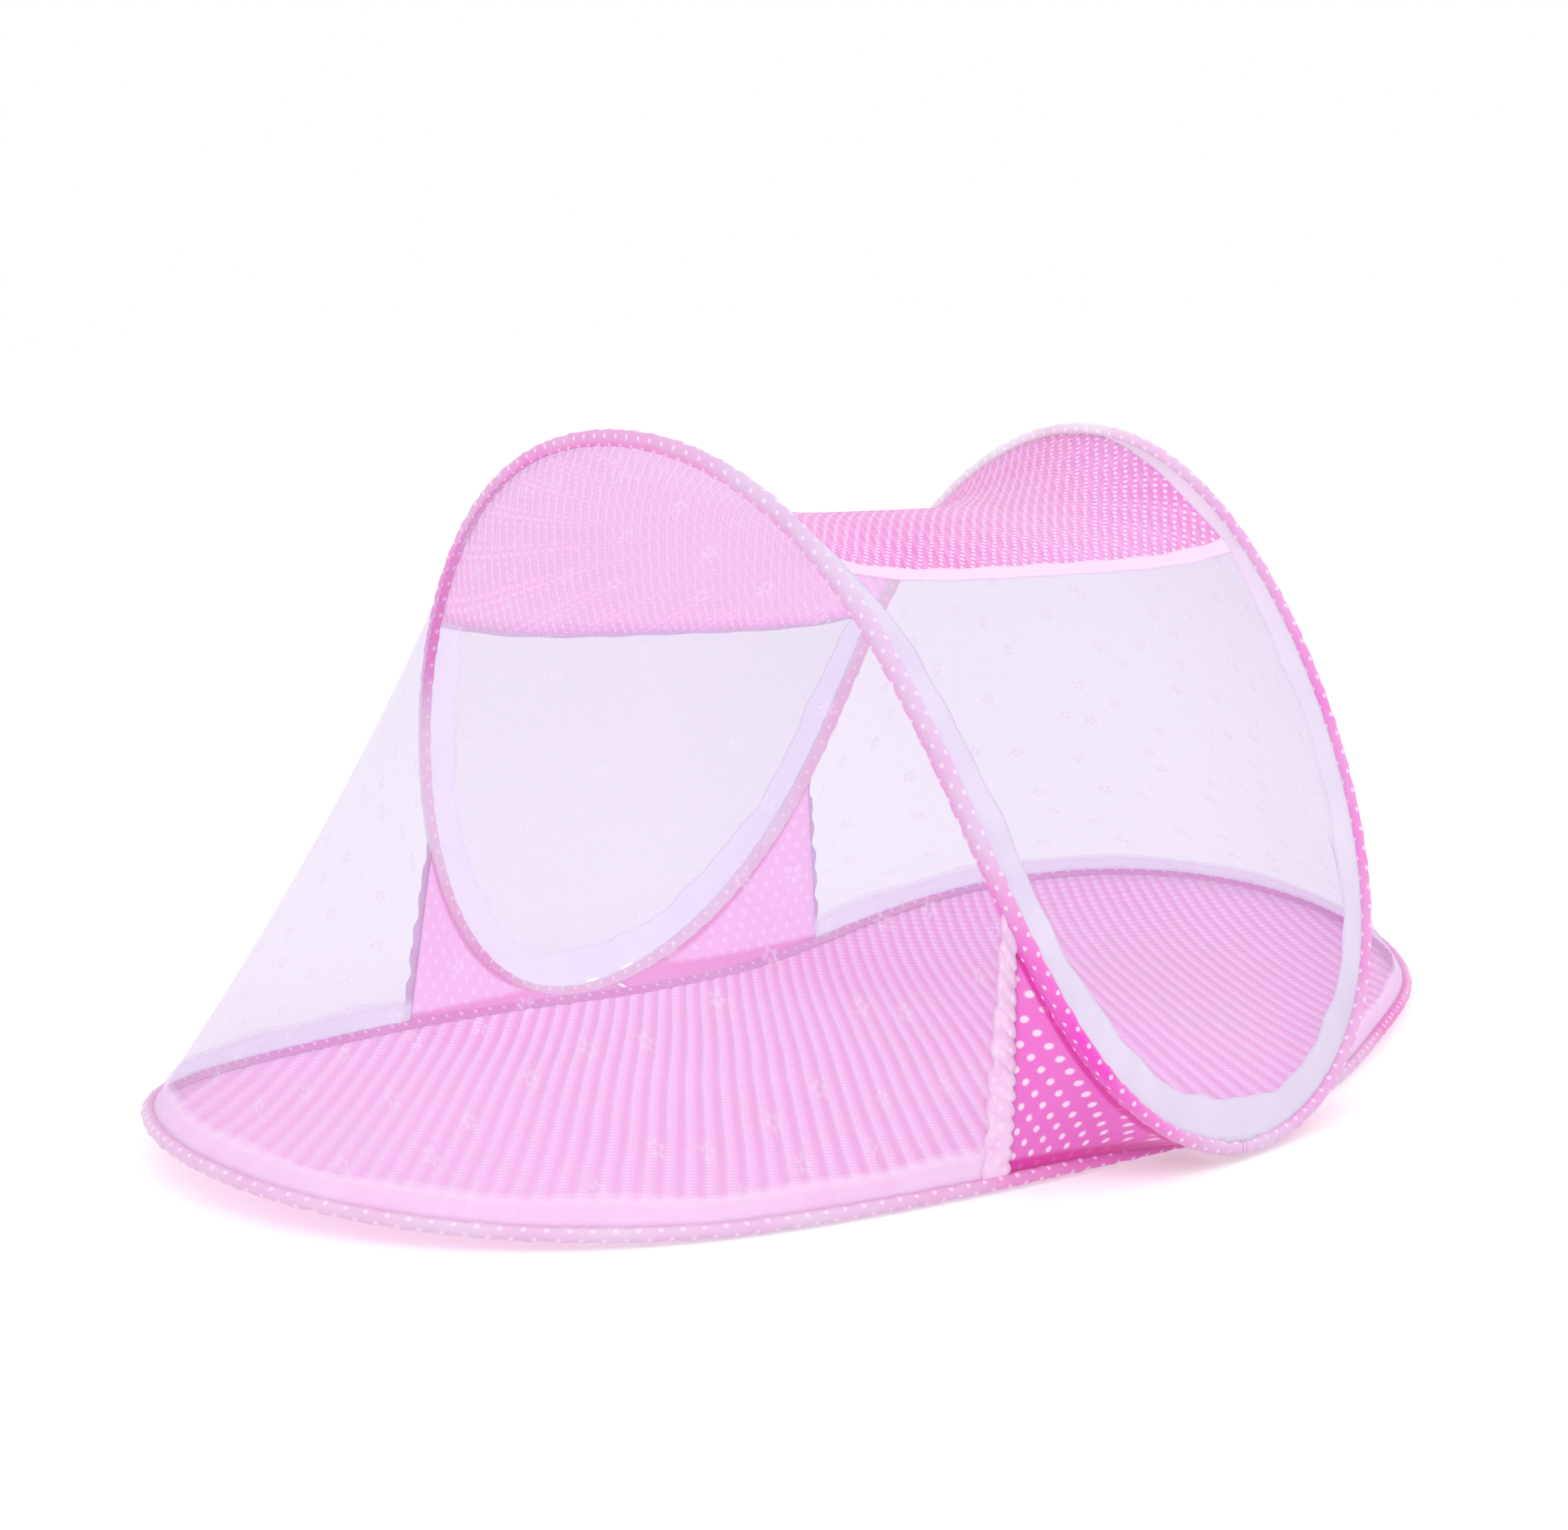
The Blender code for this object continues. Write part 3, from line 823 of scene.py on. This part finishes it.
def across_blend(piece, share, points):
    """Moves each point of a piece to its share of the way between the arches, bakes the piece's
    transform into its mesh there, and then puts the points back."""
    flat = np.zeros((share.size, 3), np.float32)
    flat[:, 0] = share.ravel()
    piece.data.vertices.foreach_set("co", flat.ravel())
    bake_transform(piece)
    piece.data.vertices.foreach_set("co", points.astype(np.float32).ravel())
    piece.data.update()


def columns_share(grid):
    return np.broadcast_to(np.linspace(0, 1, grid.shape[1]), grid.shape[:2])


def roof_cloth(name, pale, strong, rib_share, dot_share, cover, glow):
    finish = Finish(name, roughness=0.75, sheen_weight=0.3)
    s, t = finish.cloth_place()
    ribs = (s * 0.83 - t * 0.55 + finish.noise(5.0) * 0.006).wave(ROOF_RIB_PITCH)
    dot = finish.dots(s, t, *ROOF_DOTS)
    pink = finish.mix(finish.noise(9.0).contrast(3.0), strong, pale)
    pink = finish.mix(ribs * rib_share, pink, ROOF_RIB_PINK)
    pink = finish.mix(dot * dot_share, pink, ROOF_DOT_WHITE)
    finish.set("Base Color", pink)
    finish.set("Alpha", (dot * 0.12 + ribs * 0.08 + cover).clamp())
    finish.bump(ribs + dot * 0.3, ROOF_RELIEF)
    finish.glow(pink, glow)
    return finish


roof_face = roof_cloth(
    "dotted_roof_net",
    pale=(0.620, 0.160, 0.530),
    strong=(0.600, 0.065, 0.440),
    rib_share=0.20,
    dot_share=0.80,
    cover=0.70,
    glow=0.10,
)
# The back of the print is paler, and it glows more with painted light.
roof_back = roof_cloth(
    "dotted_roof_net_back",
    pale=(0.730, 0.460, 0.670),
    strong=(0.730, 0.410, 0.640),
    rib_share=0.75,
    dot_share=0.25,
    cover=0.60,
    glow=0.66,
)
from_seams = np.sin(np.linspace(0, pi, len(ROOF_RUNS)))
roof_sags = ROOF_SEAM_SAG + (ROOF_SAG - ROOF_SEAM_SAG) * from_seams
roof_grid = between_arches(ROOF_RUNS, ROOF_COLUMNS, roof_sags)
roof = sheet_mesh("roof_cloth", roof_grid, pattern_of(roof_grid), roof_face)
across_blend(roof, columns_share(roof_grid), roof_grid)
thicken(roof, ROOF_THICKNESS, roof_back)
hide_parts("roof_panel")

# Each side opening is closed by a shield of sheer net, sewn into the arch sleeves and to the
# roof's lower edge. It bows outwards a little and spans both halves.
SIDE_NET_RUNS = {"near": (0.6, 11.0), "far": (31.4, 22.0)}
SIDE_NET_ROWS = 49
SIDE_NET_COLUMNS = 48
SIDE_NET_BOW = {"near": -0.004, "far": 0.004}
SIDE_NET_SHADED_FROM = 0.03
SIDE_NET_FLAT = {"near": (0.486, 0.393), "far": (0.379, 0.409)}
SIDE_NET_AREA = {"near": 0.133, "far": 0.090}
side_net_finish = net_finish("side_net_cloth", 0.36, shaded_from=SIDE_NET_SHADED_FROM)
side_grids = {}
side_nets = {}
for place, (first, last) in SIDE_NET_RUNS.items():
    up = np.linspace(0, 1, SIDE_NET_ROWS)
    across = np.linspace(0, 1, SIDE_NET_COLUMNS + 1)
    runs = np.linspace(first, last, SIDE_NET_ROWS)
    grid = between_arches(runs, SIDE_NET_COLUMNS, ROOF_SEAM_SAG * up**6)
    grid[..., 1] += SIDE_NET_BOW[place] * np.outer(1 - up**4, 4 * across * (1 - across))
    net = sheet_mesh(f"side_net_cloth_{place}", grid, pattern_of(grid), side_net_finish)
    across_blend(net, columns_share(grid), grid)
    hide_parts(f"side_net_{place}")
    side_grids[place] = grid
    side_nets[place] = net

# A broad white hem runs round each side opening, inside the sleeve. It is the net's edge turned
# over a soft tape, so its inner edge waves. It runs on a little way up both arches beside the
# roof, where it narrows to nothing.
SIDE_HEM_WIDTH = 0.022
SIDE_HEM_WAVES = ((0.04, 95, 0), (0.03, 163, 2), (0.07, 41, 0))
SIDE_HEM_LIFT = 0.0011
SIDE_HEM_STEPS = 121
# The runs of its fold point and its top, and the rows of the roof that it lies on up there.
SIDE_HEM_RUNS = {"near": (0.0, 14.5), "far": (32.0, 19.5)}
SIDE_HEM_ROOF_ROWS = {"near": roof_grid[1:40], "far": roof_grid[-2:26:-1]}
# Counted in runs from the fold point: where it starts to turn towards the other arch and where it
# starts to narrow beside the roof, with how far each takes, and how far it narrows to its top.
SIDE_HEM_TURN = (8, 3)
SIDE_HEM_BESIDE_ROOF = (9.3, 1.6)
SIDE_HEM_TAPER = 2.5
# Painted light: the side hem's tone goes lighter up the right side, past each of these heights.
SIDE_HEM_PAINTED_LIGHT = ((0.06, (0.385, 0.335, 0.425)), (0.28, (0.455, 0.330, 0.450)))
side_hem_face = hem_cloth(
    "side_opening_hem",
    ((0.345, 0.305, 0.390), (0.335, 0.280, 0.380)),
    cover=0.90,
    glow=1.00,
    painted_light_heights=SIDE_HEM_PAINTED_LIGHT,
)
# The inner side glows near white with painted light, so that the hem looks bright from inside.
side_hem_back = hem_cloth(
    "side_opening_hem_back",
    ((0.420, 0.400, 0.440), (0.410, 0.390, 0.430)),
    cover=0.92,
    glow=1.00,
    light=HEM_LIGHT,
)


def grown(lengths, start, over):
    """0 up to the start, and from there up to 1 over a length."""
    return np.clip((lengths - start) / over, 0, 1)


def out_of_near_side(place):
    return (0, -1, 0.6)


def out_of_far_side(place):
    return (0, 1, 0.6)


out_of_side = {"near": out_of_near_side, "far": out_of_far_side}
for place, (fold_run, top_run) in SIDE_HEM_RUNS.items():
    up_runs = np.linspace(fold_run, top_run, SIDE_HEM_STEPS)
    left, right = arch_line("left", up_runs), arch_line("right", up_runs)
    loop = np.concatenate((left[:0:-1], right))
    other_arch = np.concatenate((right[:0:-1], left))
    climbed = np.abs(np.concatenate((up_runs[:0:-1], up_runs)) - fold_run)
    towards_other = grown(climbed, *SIDE_HEM_TURN)[:, None]
    net_grid = side_grids[place]
    middle = net_grid[4:].mean(axis=(0, 1))
    inward = (middle - loop) * (1 - towards_other) + (other_arch - loop) * towards_other
    inward = square_to(loop, inward)
    to_top = grown(abs(top_run - fold_run) - climbed, 0, SIDE_HEM_TAPER)
    taper = to_top * (1 - 0.55 * grown(climbed, *SIDE_HEM_BESIDE_ROOF))
    wavy = uneven(lengths_along(loop), *SIDE_HEM_WAVES)
    width = HOOP_RADIUS - CLOTH_TUCK + SIDE_HEM_WIDTH * wavy * taper**0.8
    share = np.linspace(0, 1, 7)
    band = loop[:, None] + inward[:, None] * (CLOTH_TUCK + width[:, None] * share)[..., None]
    below_net = 2 * net_grid[:1] - net_grid[6:7]
    carried_by = np.concatenate((below_net, net_grid, SIDE_HEM_ROOF_ROWS[place]))
    band = laid_on(band, carried_by, SIDE_HEM_LIFT, out_of_side[place])
    hem = sheet_mesh(f"side_hem_band_{place}", band, pattern_of(band), side_hem_face)
    bend = grown(loop[:, :1], -FOLD_BEND, 2 * FOLD_BEND)
    across_blend(hem, np.broadcast_to(bend, band.shape[:2]), band)
    thicken(hem, HEM_THICKNESS, side_hem_back)
    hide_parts(f"side_hem_{place}")
    net, flat, area = side_nets[place], SIDE_NET_FLAT[place], SIDE_NET_AREA[place]

# A narrow white tape covers the seam between the roof and each side net. It is the same folded
# net as the hems, stitched down flat, and lies for the most part on the roof.
ROOF_TAPE_WIDTH = 0.012
ROOF_TAPE_ACROSS = np.linspace(-0.35, 0.65, 6)
ROOF_TAPE_WAVES = ((0.1, 1.1, 0),)
ROOF_TAPE_LIFT = 0.0008
roof_tape_finish = hem_cloth(
    "roof_seam_tape", ((0.700, 0.540, 0.690), (0.690, 0.480, 0.660)), cover=0.72, glow=0.42
)
for place, rows in (("near", roof_grid[:8]), ("far", roof_grid[:-9:-1])):
    onto_roof = unit(rows[6] - rows[0])
    wavy = uneven(np.arange(rows.shape[1]), *ROOF_TAPE_WAVES)
    across = ROOF_TAPE_ACROSS[:, None] * wavy[None] * ROOF_TAPE_WIDTH
    tape = rows[0][None] + onto_roof[None] * across[..., None]
    carried_by = np.concatenate((side_grids[place][-12:], rows[1:]))
    tape = laid_on(tape, carried_by, ROOF_TAPE_LIFT, out_of_side[place])
    edging = sheet_mesh(f"roof_edging_tape_{place}", tape, pattern_of(tape), roof_tape_finish)
    across_blend(edging, columns_share(tape), tape)
    thicken(edging, HEM_THICKNESS)
    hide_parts(f"roof_edging_{place}")

# The floor mat is ribbed pink mesh, laid flat and drawn up to the floor hoop all round. The pull
# of the hoop fans its ribs out, and its ends are worn smooth. It is one piece.
MAT_THICKNESS = 0.0006
MAT_HEIGHT = 0.0008
MAT_LEVEL_SHARE = 0.4
MAT_ROWS = 129
MAT_COLUMNS = np.concatenate((np.linspace(0, 0.06, 4), np.linspace(0.1, 1, 25)))
MAT_JOIN_WITHIN = 0.0001
MAT_RELIEF = 0.0012
RIB_FAN_MIDDLE = (1.37, 2.01)
RIB_FAN_REACH = 2.60
RIB_PITCH = 0.0119
RUNG_PITCH = 0.0082
WORN_LEFT_OF = -0.16
WORN_RIGHT_OF = 0.05
MAT_PINKS = ((0.770, 0.225, 0.570), (0.790, 0.295, 0.630))
MAT_LEFT_PINK = (0.830, 0.400, 0.720)
MAT_RIGHT_PINK = (0.700, 0.150, 0.500)
RIB_PINK = (0.900, 0.560, 0.820)
RUNG_PINK = (0.940, 0.760, 0.920)
mat_finish = Finish("ribbed_mat_mesh", roughness=0.8, sheen_weight=0.3)
x, y = mat_finish.tent_place("XY")
from_x, from_y = x - RIB_FAN_MIDDLE[0], y - RIB_FAN_MIDDLE[1]
wander = mat_finish.noise(3.0) * 0.008
across_ribs = from_y.math("ARCTAN2", from_x) * RIB_FAN_REACH + wander
ribs = across_ribs.wave(RIB_PITCH)
fine_ribs = across_ribs.wave(RIB_PITCH / 2)
rungs = (from_x * from_x + from_y * from_y).root().wave(RUNG_PITCH)
left_end = ((WORN_LEFT_OF - x) * 5.0).clamp()
right_end = x.past(WORN_RIGHT_OF, 8.0)
ribbed = 1 - (left_end * 0.55 + right_end * 0.35)
tone = mat_finish.mix(mat_finish.noise(6.0).contrast(2.5), *MAT_PINKS)
tone = mat_finish.mix(left_end * 0.44, tone, MAT_LEFT_PINK)
tone = mat_finish.mix(right_end * 0.35, tone, MAT_RIGHT_PINK)
tone = mat_finish.mix((ribs * 0.50 + fine_ribs * 0.15) * ribbed, tone, RIB_PINK)
mat_finish.set("Base Color", mat_finish.mix(rungs * ribs * 0.50, tone, RUNG_PINK))
mat_finish.bump((ribs + fine_ribs * 0.5) * ribbed + rungs * 0.6, MAT_RELIEF)
mat_finish.glow(tone, 0.22)


def half_mat(side):
    """A grid from the line under the tent's middle out to the floor hoop, where it rises."""
    floor = floor_line(side, np.linspace(0, 32, MAT_ROWS))
    spine = np.zeros_like(floor)
    spine[:, 1] = np.linspace(floor[0, 1], floor[-1, 1], len(floor)) / 2
    rim = floor + square_to(floor, spine + (0, 0, HOOP_RADIUS) - floor) * CLOTH_TUCK
    rim[0, 0] = rim[-1, 0] = 0
    share = MAT_COLUMNS[None, :, None]
    grid = spine[:, None] * (1 - share) + rim[:, None] * share
    rise = ((MAT_COLUMNS - MAT_LEVEL_SHARE) / (1 - MAT_LEVEL_SHARE)).clip(0) ** 3
    grid[..., 2] = MAT_HEIGHT + (floor[:, None, 2] - MAT_HEIGHT) * rise[None]
    return grid


left_grid, right_grid = half_mat("left")[:, ::-1], half_mat("right")
mat = sheet_mesh("floor_mat_cloth", left_grid, left_grid[..., :2], mat_finish)
other_half = sheet_mesh("floor_mat_other", right_grid, right_grid[..., :2], mat_finish)
joined = bmesh.new()
joined.from_mesh(mat.data)
joined.from_mesh(other_half.data)
bmesh.ops.remove_doubles(joined, verts=joined.verts, dist=MAT_JOIN_WITHIN)
bmesh.ops.recalc_face_normals(joined, faces=joined.faces)
joined.to_mesh(mat.data)
joined.free()
bpy.data.objects.remove(other_half)
mat.data.shade_smooth()
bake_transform(mat)
thicken(mat, MAT_THICKNESS)
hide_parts("floor_mat_left", "floor_mat_right")

# The studio is a white floor under the tent and even white light all round. A large soft lamp
# stands to the upper left, and a weaker one to the right.
STUDIO_CORNERS = ((-9, -9, 0), (9, -9, 0), (9, 9, 0), (-9, 9, 0))
STUDIO_GREY = (0.62, 0.62, 0.62)
LAMP_SIZE = 3.0
LAMPS = (("key", (-2.6, -2.2, 3.0), 70), ("fill", (2.6, -1.8, 2.4), 30))
LAMP_TARGET = Vector((0, 0, 0.15))
studio_finish = Finish("studio_white", roughness=1.0, base_color=STUDIO_GREY)
studio_finish.glow((1.0, 1.0, 1.0), 0.40)
ground = bpy.data.meshes.new("studio_floor")
ground.from_pydata(STUDIO_CORNERS, [], [(0, 1, 2, 3)])
ground.materials.append(studio_finish.material)
studio_floor = bpy.data.objects.new("studio_floor", ground)
bpy.context.scene.collection.objects.link(studio_floor)

world = bpy.data.worlds.new("studio")
bpy.context.scene.world = world
world.use_nodes = True
surround = world.node_tree.nodes["Background"]
surround.inputs["Color"].default_value = (1, 1, 1, 1)
surround.inputs["Strength"].default_value = 1.0

for name, place, power in LAMPS:
    light = bpy.data.lights.new(name, "AREA")
    light.size = LAMP_SIZE
    light.energy = power
    lamp = bpy.data.objects.new(name, light)
    lamp.location = place
    lamp.rotation_euler = (LAMP_TARGET - Vector(place)).to_track_quat("-Z", "Y").to_euler()
    bpy.context.scene.collection.objects.link(lamp)

# The camera stands where the photograph's did, low and to the left of the near side. Its target
# and distance come from the fit of both hoops, and its focal length is in shares of the frame's
# width.
CAMERA_AZIMUTH = radians(-38.74)
CAMERA_ELEVATION = radians(8.65)
CAMERA_DISTANCE = 3.315
CAMERA_TARGET = Vector((0.338, 0.536, 0.111))
CAMERA_REACH = 60
FOCAL_SHARE = 5027.0 / 1951
level = cos(CAMERA_ELEVATION)
back = Vector((sin(CAMERA_AZIMUTH) * level, -cos(CAMERA_AZIMUTH) * level, sin(CAMERA_ELEVATION)))
lens = bpy.data.cameras.new("camera")
lens.lens = FOCAL_SHARE * lens.sensor_width
lens.clip_end = CAMERA_REACH
camera = bpy.data.objects.new("camera", lens)
camera.location = CAMERA_TARGET + back * CAMERA_DISTANCE
camera.rotation_euler = (-back).to_track_quat("-Z", "Y").to_euler()
bpy.context.scene.collection.objects.link(camera)
bpy.context.scene.camera = camera
bpy.context.scene.view_settings.view_transform = "Standard"
